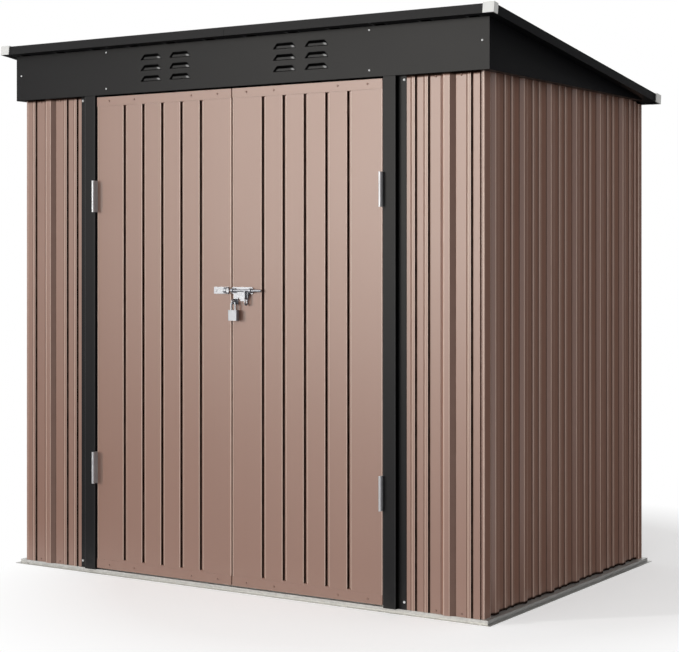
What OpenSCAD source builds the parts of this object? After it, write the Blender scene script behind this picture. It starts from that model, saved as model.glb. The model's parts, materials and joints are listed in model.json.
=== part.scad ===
// Small metal garden shed with a single-slope roof, ribbed sheet walls and two hinged doors.
// Units are millimetres. +Z is up, the doors face -Y, the origin is on the ground under the middle.

/* [Footprint] */
// Width of the base over its ground lips
base_w = 1830; // [1500:10:2400]
// Depth of the base over its ground lips
base_d = 1210; // [900:10:1800]

/* [Base rails] */
// Thickness of the base rail sheet
rail_t = 1.5; // [1:0.1:3]
// Width of the lip that lies on the ground
rail_lip = 14; // [8:1:25]
// Height of the step the walls stand on
rail_step = 12; // [8:1:25]
// Height of the upstand behind the wall sheets
rail_upstand = 30; // [15:1:60]

/* [Walls] */
// Thickness of the wall sheet
sheet_t = 1.2; // [0.8:0.1:2]
// Inset of the front wall's rib crests from the base edge
wall_in_front = 7; // [4.5:0.5:30]
// Inset of the side walls' rib crests from the base edge
wall_in_side = 28; // [17:1:40]
// Inset of the rear wall's rib crests from the base edge
wall_in_rear = 25; // [17:1:40]
// Lap of the front and side wall sheets behind the header and gables
wall_lap = 5; // [3:1:40]
// Height of a wide rib
rib_h = 11; // [6:1:15]
// Width of a wide rib at its foot
rib_foot = 48; // [40:1:60]
// Width of a wide rib's crest
rib_crest = 20; // [12:1:30]
// Height of a narrow rib
bead_h = 4; // [2:0.5:5]
// Width of a narrow rib at its foot
bead_foot = 20; // [14:1:26]
// Width of a narrow rib's crest
bead_crest = 10; // [6:1:12]
// Distance between the two narrow ribs of a pair
bead_pitch = 44; // [40:1:60]
// Distance from a wide rib to the nearest narrow rib
rib_gap = 71; // [60:1:80]

// Distance from the base's front edge to the first wide rib of a side wall
side_start = 103; // [75:1:110]
// Distance from a door post to the first narrow rib of the front wall
front_start = 53; // [45:0.5:70]

/* [Corner posts] */
// Width of a front corner post's face
post_front = 11; // [8:1:30]
// Width of a rear corner post's face
post_rear = 21; // [12:1:30]
// Width of a front corner post on the side
post_side = 40; // [20:1:45]
// Width of a rear corner post on the side
post_rear_side = 27; // [20:1:40]
// Depth of a front corner post's face behind the wall sheet
post_set = 5; // [3:0.5:8]
// Distance of a front corner post's side inside the side walls' rib crests
post_in = 1; // [0.5:0.5:6]
// Lap of a front corner post behind the wall sheet
post_lap = 10; // [6:1:20]

/* [Doorway] */
// Height of the underside of the header panel
head_z = 1587; // [1400:1:1880]
// Width of one door leaf
leaf_w = 551.5; // [400:0.5:700]
// Distance of the front rail's upstand behind the doors
sill_gap = 6; // [4:0.5:15]
// Clearance round each door leaf
door_gap = 5; // [4:0.5:8]
// Width of a door post's front face
jamb_w = 44; // [30:1:60]
// Distance of the door posts' front face behind the base edge
jamb_in = 1; // [0:1:6]
// Width of the door post flange screwed to the wall
jamb_flange = 28; // [15:1:34]

/* [Header and gables] */
// Height of the header panel from its underside to the roof sheet
header_h = 152; // [110:1:220]
// Distance of the header panel's face behind the base edge
header_in = 3; // [1:1:3]
// Distance of the gable panels' face inside the base edge
gable_in = 2; // [0:1:8]
// Smallest height of a gable panel, at its rear end
gable_tip = 3; // [2:1:10]
// Width of a louvre at its slot
louvre_w = 76; // [50:1:90]
// Width of a louvre at its top
louvre_top_w = 62; // [40:1:76]
// Height of a louvre with its slot
louvre_h = 16; // [12:1:20]
// Depth a louvre is pressed in
louvre_in = 7; // [4:1:10]
// Height of the open slot under a louvre
louvre_slot = 2.5; // [1.5:0.5:4]
// Height of the middle row of louvres above the header's underside
louvre_up = 82; // [60:1:100]
// Distance between louvre rows
louvre_row = 35; // [25:1:38]
// Distance of the inner louvre column from the middle
louvre_x = 204; // [150:1:260]
// Distance between the two louvre columns of a group
louvre_col = 118; // [95:1:140]

/* [Roof] */
// Fall of the roof to the rear in degrees
roof_pitch = 7.6; // [5:0.1:9]
// Overhang of the roof beyond the base at the front
roof_over_front = 39; // [15:1:60]
// Overhang of the roof beyond the base at each side
roof_over_side = 33; // [20:1:80]
// Distance of the roof's rear edge inside the base edge
roof_in_rear = 0; // [0:1:20]
// Thickness of the roof edge trim sheet
trim_t = 1.2; // [0.8:0.1:2]
// Height of the roof edge trim
trim_h = 28; // [22:1:40]
// Width of the roof edge trim's flanges
trim_flange = 20; // [12:1:26]
// Joint gap between the two lengths of the front trim
trim_joint = 0.8; // [0.4:0.1:2]
// Wall thickness of a roof corner cap
cap_t = 3; // [1.5:0.1:4]
// Length of a roof corner cap along the front or rear
cap_front = 36; // [30:1:60]
// Length of a front roof corner cap along the side
cap_side = 26; // [24:1:40]
// Length of a rear roof corner cap along the side
cap_rear = 40; // [24:1:60]
// Height of a roof sheet rib
roof_rib_h = 14; // [8:1:18]
// Width of a roof sheet rib at its foot
roof_rib_foot = 44; // [30:1:60]
// Width of a roof sheet rib's crest
roof_rib_crest = 22; // [12:1:28]
// Distance between roof sheet ribs
roof_rib_pitch = 159; // [120:1:180]
// Clearance of the rear wall under the roof's rear trim
roof_seat = 4; // [2:0.5:8]
// Height of the rail under the rear of the roof
rear_rail_h = 38; // [25:1:60]
// Width of that rail's inward flange
rear_rail_w = 24; // [15:1:40]

/* [Doors] */
// Depth of a door leaf from its face to its back
leaf_t = 18; // [14:1:22]
// Height of a door's top and bottom rail strip
door_rail_h = 30; // [20:1:50]
// Width of a door groove
groove_w = 14; // [8:1:16]
// Depth of a door groove
groove_d = 8; // [5:0.5:10]
// Distance between door grooves
groove_pitch = 78.6; // [60:0.1:95]
// Distance of the grooves' ends from the leaf's top and bottom
groove_stop = 46; // [40:1:90]

/* [Hinges] */
// Height of a hinge
hinge_h = 104; // [80:1:130]
// Height of the upper hinge's middle
hinge_z_upper = 1253; // [1000:1:1400]
// Height of the lower hinge's middle
hinge_z_lower = 353; // [200:1:600]
// Radius of the hinge barrel
barrel_r = 5; // [4:0.5:6]
// Radius of the hinge pin
pin_r = 2.5; // [2:0.1:3]
// Clearance round the hinge pin
pin_clear = 0.05; // [0.02:0.01:0.1]
// Distance of the hinge axis in front of the door face
barrel_out = 17; // [15:1:19]
// Thickness of a hinge leaf
hinge_t = 2; // [1.5:0.1:2]
// Depth of a hinge leaf behind the barrel
hinge_d = 26; // [20:1:28]
// Gap between hinge knuckles
knuckle_gap = 0.6; // [0.3:0.1:1]

/* [Bolt] */
// Height of the bolt's axis
bolt_z = 947; // [800:1:1100]
// Radius of the bolt
bolt_r = 4; // [3:0.5:4.5]
// Clearance of the bolt in its guides
bolt_clear = 0.08; // [0.05:0.01:0.1]
// Clearance of the bolt in its keeper
keeper_clear = 3; // [2:0.1:3.5]
// Wall of the bolt's guides and keeper
loop_wall = 3; // [2:0.1:3]
// Length of the bolt
bolt_l = 116; // [100:1:140]
// Distance of the bolt's tip from the middle of the doorway
bolt_tip = 3.5; // [3:0.5:6]
// Length of the bolt's tapered tip
tip_l = 3; // [1:0.5:5]
// Distance of the bolt's axis in front of its plate
bolt_out = 8; // [7:0.5:9]
// Thickness of the bolt and keeper plates
plate_t = 2; // [1.5:0.1:3]
// Height of the bolt and keeper plates
plate_h = 22; // [20:1:30]
// Corner radius of the bolt and keeper plates
plate_r = 3; // [1:0.5:5]
// Outer end of the bolt plate from the middle of the doorway
plate_end = 82; // [80:1:95]
// Outer end of the keeper plate from the middle of the doorway
keeper_end = 69; // [50:1:80]
// Inner end of the keeper plate from the middle of the doorway
keeper_start = 10; // [8:1:14]
// Left end of the foot of the bolt plate's apron
apron_x = 36; // [28:1:44]
// Height of the foot of the bolt plate's apron
apron_z = 914; // [908:1:925]
// Width of a bolt guide
guide_w = 7; // [5:0.5:8]
// Width of the keeper loop
keeper_w = 10; // [6:1:12]
// Distance of the bolt handle from the middle of the doorway
handle_x = 62; // [60:1:66]
// Width of the bolt handle's web
handle_w = 15; // [12:1:16]
// Thickness of the bolt handle
handle_t = 2.5; // [2:0.1:3]
// Height of the middle of the bolt handle's slot
handle_slot_z = 913; // [908:1:920]
// Half width of the bolt handle's end
handle_r = 9; // [7:0.5:10]
// Half width of the bolt handle's slot
slot_r = 3.5; // [2.5:0.5:5]
// Half length between the slot's end centres
slot_half = 4; // [2:0.5:6]

/* [Padlock] */
// Distance of the padlock's staple from the middle of the doorway
staple_x = 17; // [15:1:18]
// Thickness of the staple
staple_t = 3; // [2:0.1:4]
// Height of the staple's hole
staple_z = 912; // [908:1:916]
// Radius of the staple's hole
staple_r = 4.5; // [4:0.1:5]
// Half width of the staple
staple_half = 9; // [8:0.5:10]
// Distance of the staple's hole in front of the bolt plate
staple_out = 13; // [12:0.5:14]
// Radius of the padlock's shackle
shackle_r = 3; // [2.5:0.1:3.2]
// Distance from the shackle's middle to the middle of each leg
shackle_half = 8; // [7:0.5:9]
// Width of the padlock's body
lock_w = 34; // [28:1:36]
// Height of the padlock's body
lock_h = 33; // [28:1:40]
// Thickness of the padlock's body
lock_t = 14; // [10:1:16]
// Radius of the padlock body's upright edges
lock_r = 3; // [1:0.5:5]
// Height of the top of the padlock's body
lock_z = 886; // [880:1:890]

/* [Hidden] */
$fn = 48;
eps = 0.5;
fit_gap = 0.3;
far = 4000;
overall_d = base_d + roof_over_front;
front_y = -overall_d / 2 + roof_over_front;
rear_y = overall_d / 2;
half_w = base_w / 2;
shelf_z = rail_step + rail_t;
crest_front = front_y + wall_in_front;
flat_front = crest_front + rib_h;
crest_side = half_w - wall_in_side;
flat_side = crest_side - rib_h;
crest_rear = rear_y - wall_in_rear;
flat_rear = crest_rear - rib_h;
inner_side = flat_side - sheet_t;
front_end = crest_side - post_in - post_front;
post_y = flat_front + post_set;
mitre = 70;

leaf_in = door_gap / 2;
leaf_out = leaf_in + leaf_w;
jamb_x = leaf_out + door_gap;
jamb_y = front_y + jamb_in;
face_y = jamb_y + 6;
leaf_z0 = shelf_z + door_gap + 1;
leaf_z1 = head_z - door_gap;
skin_y = face_y + sheet_t;
back_y = face_y + leaf_t;
hinge_x = jamb_x - door_gap / 2;
hinge_y = face_y - barrel_out;

header_y = front_y + header_in;
header_back = header_y + sheet_t;
gable_x = half_w - gable_in;

cap_h = trim_h + cap_t;
roof_half = half_w + roof_over_side;
roof_y0 = front_y - roof_over_front + cap_h * sin(roof_pitch);
roof_len = (rear_y - roof_in_rear - roof_y0) / cos(roof_pitch);
trim_low = -cap_t - trim_h;
roof_flat = trim_low + trim_t;
trim_half = roof_half - cap_t;
roof_sheet_half = trim_half - trim_t;
roof_sheet_w = 2 * roof_sheet_half / 3;
roof_front_z = head_z + header_h + (header_back - roof_y0) * tan(roof_pitch) - roof_flat / cos(roof_pitch);
gable_end = min(header_back + (header_h - gable_tip) / tan(roof_pitch), crest_rear - rib_h);
wall_top = head_z + wall_lap;
louvre_z = head_z + louvre_up;
rear_top = roof_under(crest_rear) - roof_seat;
rear_rail_y = flat_rear - sheet_t;

plate_y = skin_y - plate_t;
bolt_y = plate_y - bolt_out;
guide_in = leaf_in + 3;
staple_y = plate_y - staple_out;
shackle_z = staple_z - staple_r + shackle_r + fit_gap + 0.1;

module_w = bead_pitch + 2 * rib_gap;
wide = [rib_foot / 2, rib_crest / 2, rib_h];
narrow = [bead_foot / 2, bead_crest / 2, bead_h];

// Height of the roof sheet's underside at a given depth
function roof_under(y) = roof_front_z - (y - roof_y0) * tan(roof_pitch) + roof_flat / cos(roof_pitch);

function unit(v) = v / norm(v);
function left_of(v) = [-v[1], v[0]];
function edge_normal(p, i) = left_of(unit(p[i + 1] - p[i]));
function join_normal(a, b) = (a + b) / (1 + a * b);
function point_normal(p, i) =
    i == 0 ? edge_normal(p, 0) :
    i == len(p) - 1 ? edge_normal(p, i - 1) :
    join_normal(edge_normal(p, i - 1), edge_normal(p, i));

// Outline of a bent sheet: the path itself and the same path one thickness to its left
function bent(p, t) = concat(p, [for (i = [len(p) - 1 : -1 : 0]) p[i] + t * point_normal(p, i)]);

// Points of one rib: position along the sheet and height above its flat
function rib_points(at, size) = [
    [at - size[0], 0], [at - size[1], size[2]], [at + size[1], size[2]], [at + size[0], 0]
];

// Points of a ribbed sheet from a list of rib positions and sizes
function ribbed(a, b, ribs) = concat([[a, 0]], [for (r = ribs) each rib_points(r[0], r[1])], [[b, 0]]);

// Keeps only the ribs that lie wholly between two limits
function between(ribs, a, b) = [for (r = ribs) if (r[0] - r[1][0] > a && r[0] + r[1][0] < b) r];

// A run of ribs that starts at a wide one: wide, two narrow, wide and so on
function rib_run(first, n) = [for (k = [0 : n]) each [
    [first + k * module_w, wide],
    [first + k * module_w + rib_gap, narrow],
    [first + k * module_w + rib_gap + bead_pitch, narrow]
]];

side_ribs = between(
    rib_run(front_y + side_start, ceil(base_d / module_w)),
    post_y + post_side, crest_rear - post_rear_side
);

// The rear wall has a wide rib in the middle and runs both ways
rear_n = ceil(half_w / module_w);
rear_ribs = between(
    rib_run(-rear_n * module_w, 2 * rear_n),
    post_rear - crest_side, crest_side - post_rear
);

// A front wall sheet starts with a pair of narrow ribs beside the door post
front_ribs = between(
    rib_run(jamb_x + jamb_w + front_start - rib_gap, ceil(half_w / module_w)),
    jamb_x + jamb_w + jamb_flange, front_end
);

module upright(points, z0, z1) {
    translate([0, 0, z0])
        linear_extrude(z1 - z0)
            polygon(points);
}

// Extrudes a section given in depth and height along X
module along_x(points, x0, x1) {
    translate([x0, 0, 0])
        rotate([90, 0, 90])
            linear_extrude(x1 - x0)
                polygon(points);
}

// Extrudes a section given in width and height along Y
module along_y(points, y0, y1) {
    translate([0, y1, 0])
        rotate([90, 0, 0])
            linear_extrude(y1 - y0)
                polygon(points);
}

module block(lo, hi) {
    translate(lo)
        cube(hi - lo);
}

// Flat shape with round corners
module round_rect(lo, hi, r) {
    union() {
        translate([lo[0] + r, lo[1]])
            square([hi[0] - lo[0] - 2 * r, hi[1] - lo[1]]);
        translate([lo[0], lo[1] + r])
            square([hi[0] - lo[0], hi[1] - lo[1] - 2 * r]);
        for (x = [lo[0] + r, hi[0] - r], y = [lo[1] + r, hi[1] - r])
            translate([x, y])
                circle(r = r);
    }
}

// Plate on the door's face with round corners, given in width and height
module face_plate(lo, hi, r) {
    translate([0, skin_y, 0])
        rotate([90, 0, 0])
            linear_extrude(plate_t)
                round_rect(lo, hi, r);
}

module rod_x(r, x0, x1, y, z) {
    translate([x0, y, z])
        rotate([0, 90, 0])
            cylinder(r = r, h = x1 - x0);
}

module rod_z(r, x, y, z0, z1) {
    translate([x, y, z0])
        cylinder(r = r, h = z1 - z0);
}

module mirrored() {
    mirror([1, 0, 0])
        children();
}

// Moves a piece from the roof's own frame, with its front top edge at the origin
module on_roof() {
    translate([0, roof_y0, roof_front_z])
        rotate([-roof_pitch, 0, 0])
            children();
}

// Space taken by the roof, down to the underside of its edge trims
module above_walls() {
    on_roof()
        block([-far, -far, trim_low - fit_gap], [far, far, far]);
}

// Section of a base rail, from the ground lip inward
function rail_section(inset) = bent([
    [0, 0],
    [rail_lip, 0],
    [rail_lip, rail_step],
    [inset + rib_h + sheet_t + rail_t, rail_step],
    [inset + rib_h + sheet_t + rail_t, shelf_z + rail_upstand]
], rail_t);

// Where the front and rear rails may stand up: up to a distance from the middle
module rail_limit(half) {
    block([-half_w, -far, 0], [half_w, far, shelf_z]);
    block([-half, -far, 0], [half, far, far]);
}

module base_rail_front() {
    color([0.72, 0.73, 0.74])
        intersection() {
            translate([0, front_y, 0])
                along_x(rail_section(back_y + sill_gap - front_y - rib_h - sheet_t), -half_w, half_w);
            upright([
                [-half_w, front_y], [half_w, front_y],
                [half_w - mitre, front_y + mitre], [mitre - half_w, front_y + mitre]
            ], 0, far);
            rail_limit(front_end - sheet_t - fit_gap);
        }
}

module base_rail_rear() {
    color([0.72, 0.73, 0.74])
        intersection() {
            translate([0, rear_y, 0])
                mirror([0, 1, 0])
                    along_x(rail_section(wall_in_rear), -half_w, half_w);
            upright([
                [-half_w, rear_y], [half_w, rear_y],
                [half_w - mitre, rear_y - mitre], [mitre - half_w, rear_y - mitre]
            ], 0, far);
            rail_limit(inner_side);
        }
}

module side_rail() {
    color([0.72, 0.73, 0.74])
        intersection() {
            translate([half_w, 0, 0])
                mirror([1, 0, 0])
                    along_y(rail_section(wall_in_side), front_y, rear_y);
            upright([
                [half_w, front_y], [half_w, rear_y],
                [half_w - mitre, rear_y - mitre], [half_w - mitre, front_y + mitre]
            ], 0, far);
        }
}

module base_rail_right() {
    side_rail();
}

module base_rail_left() {
    mirrored()
        side_rail();
}

module front_wall() {
    points = [for (p = ribbed(jamb_x + jamb_w, front_end, front_ribs)) [p[0], flat_front - p[1]]];
    color([0.55, 0.44, 0.38])
        upright(bent(concat(points, [[front_end, post_y]]), sheet_t), shelf_z, wall_top);
}

module front_wall_right() {
    front_wall();
}

module front_wall_left() {
    mirrored()
        front_wall();
}

module side_wall() {
    points = [for (p = ribbed(post_y + sheet_t, flat_rear, side_ribs)) [flat_side + p[1], p[0]]];
    color([0.55, 0.44, 0.38])
        difference() {
            upright(bent(points, sheet_t), shelf_z, wall_top);
            above_walls();
        }
}

module side_wall_right() {
    side_wall();
}

module side_wall_left() {
    mirrored()
        side_wall();
}

module rear_wall() {
    points = [for (p = ribbed(-inner_side, inner_side, rear_ribs)) [p[0], flat_rear + p[1]]];
    color([0.55, 0.44, 0.38])
        upright(bent(points, -sheet_t), shelf_z, rear_top);
}

// Section of a front corner post, from behind the wall sheet round the corner to the side wall
front_post_section = bent([
    [front_end - post_lap, post_y],
    [crest_side - post_in, post_y],
    [crest_side - post_in, post_y + post_side],
    [flat_side, post_y + post_side]
], sheet_t);

// Section of a rear corner post, which stands out as far as the rib crests
rear_post_section = bent([
    [crest_side - post_rear, crest_rear - rib_h],
    [crest_side - post_rear, crest_rear],
    [crest_side, crest_rear],
    [crest_side, crest_rear - post_rear_side],
    [flat_side, crest_rear - post_rear_side]
], -sheet_t);

module front_post() {
    color([0.53, 0.42, 0.36])
        upright(front_post_section, shelf_z, head_z);
}

module corner_post_front_right() {
    front_post();
}

module corner_post_front_left() {
    mirrored()
        front_post();
}

module rear_post() {
    color([0.53, 0.42, 0.36])
        upright(rear_post_section, shelf_z, rear_top);
}

module corner_post_rear_right() {
    rear_post();
}

module corner_post_rear_left() {
    mirrored()
        rear_post();
}

module door_post() {
    flange_y = flat_front - sheet_t;
    section = bent([
        [jamb_x, flat_front + sheet_t],
        [jamb_x, jamb_y],
        [jamb_x + jamb_w, jamb_y],
        [jamb_x + jamb_w, flange_y],
        [jamb_x + jamb_w + jamb_flange, flange_y]
    ], sheet_t);
    color([0.08, 0.08, 0.08])
        upright(section, shelf_z, head_z);
}

module door_post_right() {
    door_post();
}

module door_post_left() {
    mirrored()
        door_post();
}

// One louvre form behind the header: a side section cut to a front outline that narrows upward
module louvre_form(x, z, in, half_top, half_foot, over, under, fore) {
    translate([x, header_back, z])
        intersection() {
            along_x([
                [fore, under], [in, under], [in, over - louvre_h / 2], [0, over], [fore, over]
            ], -louvre_w, louvre_w);
            along_y([
                [-half_foot, under], [half_foot, under], [half_top, over], [-half_top, over]
            ], -far, far);
        }
}

// Back of one pressed louvre, about its middle on the header's face
module louvre_back(x, z) {
    half = louvre_h / 2;
    louvre_form(x, z, louvre_in, louvre_top_w / 2, louvre_w / 2, half, louvre_slot - half, -sheet_t);
}

// Hollow of one pressed louvre, open to the front and through the slot below
module louvre_hollow(x, z) {
    half = louvre_h / 2;
    skin = 2 * sheet_t;
    louvre_form(
        x, z, louvre_in - sheet_t, louvre_top_w / 2 - skin, louvre_w / 2 - skin,
        half - skin, -half, -far
    );
}

louvre_at = [
    for (side = [-1, 1], col = [0, 1], row = [-1 : 1])
        [side * (louvre_x + col * louvre_col), louvre_z + row * louvre_row]
];

module header_panel() {
    color([0.08, 0.08, 0.08])
        difference() {
            union() {
                block([-gable_x, header_y, head_z], [gable_x, header_back, roof_under(header_back)]);
                block([-gable_x, header_y, head_z], [gable_x, crest_front, head_z + sheet_t]);
                for (at = louvre_at) louvre_back(at[0], at[1]);
            }
            for (at = louvre_at) louvre_hollow(at[0], at[1]);
        }
}

module gable_panel() {
    face = [
        [header_back, head_z], [gable_end, head_z],
        [gable_end, roof_under(gable_end)], [header_back, roof_under(header_back)]
    ];
    color([0.08, 0.08, 0.08])
        union() {
            difference() {
                along_x(face, gable_x - sheet_t, gable_x);
                block([0, header_y, head_z - eps], [far, crest_front, head_z + sheet_t]);
            }
            block([crest_side, crest_front, head_z], [gable_x, gable_end, head_z + sheet_t]);
        }
}

module gable_right() {
    gable_panel();
}

module gable_left() {
    mirrored()
        gable_panel();
}

module rear_top_rail() {
    top = roof_under(rear_rail_y) - trim_t - fit_gap;
    section = bent([
        [rear_rail_y - rear_rail_w, top - rear_rail_h],
        [rear_rail_y, top - rear_rail_h],
        [rear_rail_y, top]
    ], sheet_t);
    color([0.72, 0.73, 0.74])
        along_x(section, -inner_side, inner_side);
}

module roof_sheet(index) {
    middle = index * roof_sheet_w;
    half = roof_sheet_w / 2;
    ribs = [for (k = [-1.5 : 1 : 1.5]) [middle + k * roof_rib_pitch, [
        roof_rib_foot / 2, roof_rib_crest / 2, roof_rib_h
    ]]];
    points = [for (p = ribbed(middle - half, middle + half, ribs)) [p[0], roof_flat + p[1]]];
    color([0.1, 0.1, 0.1])
        on_roof()
            along_y(bent(points, sheet_t), cap_t + trim_t, roof_len - cap_t - trim_t);
}

module roof_sheet_left() {
    roof_sheet(-1);
}

module roof_sheet_middle() {
    roof_sheet(0);
}

module roof_sheet_right() {
    roof_sheet(1);
}

// Channel section of the roof edge trim, from its outer face inward
trim_section = bent([
    [cap_t + trim_flange, trim_low],
    [cap_t, trim_low],
    [cap_t, -cap_t],
    [cap_t + trim_flange, -cap_t]
], -trim_t);

module roof_trim_front() {
    color([0.09, 0.09, 0.09])
        on_roof() {
            along_x(trim_section, -trim_half, -trim_joint / 2);
            along_x(trim_section, trim_joint / 2, trim_half);
        }
}

module roof_trim_rear() {
    color([0.09, 0.09, 0.09])
        on_roof()
            translate([0, roof_len, 0])
                mirror([0, 1, 0])
                    along_x(trim_section, -trim_half, trim_half);
}

module side_trim() {
    color([0.09, 0.09, 0.09])
        on_roof()
            translate([roof_half, 0, 0])
                mirror([1, 0, 0])
                    along_y(trim_section, cap_side, roof_len - cap_rear);
}

module roof_trim_right() {
    side_trim();
}

module roof_trim_left() {
    mirrored()
        side_trim();
}

module corner_cap(side) {
    difference() {
        block([roof_half - cap_front, 0, -cap_h], [roof_half, side, 0]);
        block([0, cap_t, trim_low - eps], [trim_half, far, -cap_t]);
    }
}

module cap_pair(side) {
    corner_cap(side);
    mirrored()
        corner_cap(side);
}

module roof_corner_caps() {
    color([0.9, 0.9, 0.88])
        on_roof() {
            cap_pair(cap_side);
            translate([0, roof_len, 0])
                mirror([0, 1, 0])
                    cap_pair(cap_rear);
        }
}

hinge_heights = [hinge_z_lower, hinge_z_upper];
knuckle_h = hinge_h / 3;
hinge_back = hinge_y + barrel_r + 1;

// One fixed hinge half: leaf on the door post, two knuckles and the pin
module post_hinge(z) {
    x0 = jamb_x - hinge_t;
    bottom = z - hinge_h / 2;
    block([x0, hinge_back, bottom], [jamb_x, hinge_back + hinge_d, bottom + hinge_h]);
    for (k = [0, 2]) {
        low = bottom + k * knuckle_h;
        rod_z(barrel_r, hinge_x, hinge_y, low, low + knuckle_h);
        block([x0, hinge_y, low], [jamb_x, hinge_back, low + knuckle_h]);
    }
    rod_z(pin_r, hinge_x, hinge_y, bottom, bottom + hinge_h);
}

// One moving hinge half: leaf on the door's edge and the middle knuckle
module leaf_hinge(z) {
    x1 = leaf_out + hinge_t;
    bottom = z - hinge_h / 2;
    low = bottom + knuckle_h + knuckle_gap;
    high = bottom + 2 * knuckle_h - knuckle_gap;
    difference() {
        union() {
            block([leaf_out, hinge_back, bottom], [x1, hinge_back + hinge_d, bottom + hinge_h]);
            block([leaf_out, hinge_y, low], [x1, hinge_back, high]);
            rod_z(barrel_r, hinge_x, hinge_y, low, high);
        }
        rod_z(pin_r + pin_clear, hinge_x, hinge_y, low - eps, high + eps);
    }
}

module post_hinges() {
    color([0.75, 0.76, 0.77])
        for (z = hinge_heights) post_hinge(z);
}

module post_hinges_right() {
    post_hinges();
}

module post_hinges_left() {
    mirrored()
        post_hinges();
}

module leaf_hinges() {
    color([0.75, 0.76, 0.77])
        for (z = hinge_heights) leaf_hinge(z);
}

module right_door_hinges() {
    leaf_hinges();
}

module left_door_hinges() {
    mirrored()
        leaf_hinges();
}

sheet_z0 = leaf_z0 + sheet_t;
sheet_z1 = leaf_z1 - sheet_t;
sheet_back = back_y - sheet_t;
groove_z0 = leaf_z0 + groove_stop;
groove_z1 = leaf_z1 - groove_stop;
groove_at = [for (k = [-2 : 2]) (leaf_in + leaf_out) / 2 + k * groove_pitch];

module door_sheet() {
    color([0.55, 0.44, 0.38])
        difference() {
            union() {
                difference() {
                    block([leaf_in, skin_y, sheet_z0], [leaf_out, sheet_back, sheet_z1]);
                    block(
                        [leaf_in + sheet_t, skin_y + sheet_t, sheet_z0 + sheet_t],
                        [leaf_out - sheet_t, far, sheet_z1 - sheet_t]
                    );
                }
                for (x = groove_at)
                    block(
                        [x - groove_w / 2 - sheet_t, skin_y, groove_z0 - sheet_t],
                        [x + groove_w / 2 + sheet_t, skin_y + groove_d + sheet_t, groove_z1 + sheet_t]
                    );
            }
            for (x = groove_at)
                block(
                    [x - groove_w / 2, skin_y - eps, groove_z0],
                    [x + groove_w / 2, skin_y + groove_d, groove_z1]
                );
        }
}

// Channel that caps a door sheet's end: the section runs from the face over the end to the back
module door_rail(z_end, z_inner) {
    section = bent([
        [face_y, z_inner], [face_y, z_end], [back_y, z_end], [back_y, z_inner]
    ], z_end > z_inner ? -sheet_t : sheet_t);
    color([0.54, 0.43, 0.37])
        along_x(section, leaf_in, leaf_out);
}

module door_top_rail() {
    door_rail(leaf_z1, leaf_z1 - door_rail_h);
}

module door_bottom_rail() {
    door_rail(leaf_z0, leaf_z0 + door_rail_h);
}

module right_door_sheet() {
    door_sheet();
}

module right_door_top_rail() {
    door_top_rail();
}

module right_door_bottom_rail() {
    door_bottom_rail();
}

module left_door_sheet() {
    mirrored()
        door_sheet();
}

module left_door_top_rail() {
    mirrored()
        door_top_rail();
}

module left_door_bottom_rail() {
    mirrored()
        door_bottom_rail();
}

// Round-fronted block on a plate, about the bolt's axis
module loop_form(x0, x1, r, back) {
    block([x0, bolt_y, bolt_z - r], [x1, back, bolt_z + r]);
    rod_x(r, x0, x1, bolt_y, bolt_z);
}

// Guide that the bolt fits closely
module bolt_guide(x0) {
    difference() {
        loop_form(x0, x0 + guide_w, bolt_r + loop_wall, skin_y);
        rod_x(bolt_r + bolt_clear, x0 - eps, x0 + guide_w + eps, bolt_y, bolt_z);
    }
}

// Strap that the bolt shoots into, open behind down to its plate
module keeper_strap(x0) {
    r = bolt_r + keeper_clear;
    difference() {
        loop_form(x0, x0 + keeper_w, r + loop_wall, skin_y);
        loop_form(x0 - eps, x0 + keeper_w + eps, r, plate_y);
    }
}

module bolt_keeper() {
    color([0.78, 0.78, 0.78])
        union() {
            face_plate([-keeper_end, bolt_z - plate_h / 2], [-keeper_start, bolt_z + plate_h / 2], plate_r);
            keeper_strap(-keeper_start - eps - keeper_w);
        }
}

module bolt_plate() {
    tab_low = staple_z - staple_half;
    low = bolt_z - plate_h / 2;
    x0 = staple_x - staple_t / 2;
    color([0.78, 0.78, 0.78])
        union() {
            face_plate([leaf_in + eps, low], [plate_end, bolt_z + plate_h / 2], plate_r);
            face_plate([staple_x - staple_half, tab_low], [staple_x + staple_half, bolt_z], plate_r);
            translate([0, skin_y, 0])
                rotate([90, 0, 0])
                    linear_extrude(plate_t)
                        polygon([
                            [staple_x, low + plate_r], [handle_x + handle_w / 2, low + plate_r],
                            [handle_x, apron_z], [apron_x, apron_z]
                        ]);
            bolt_guide(guide_in);
            bolt_guide(plate_end - guide_w);
            difference() {
                union() {
                    block(
                        [x0, staple_y, tab_low],
                        [x0 + staple_t, skin_y, staple_z + staple_half]
                    );
                    rod_x(staple_half, x0, x0 + staple_t, staple_y, staple_z);
                }
                rod_x(staple_r, x0 - eps, x0 + staple_t + eps, staple_y, staple_z);
            }
        }
}

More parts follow.
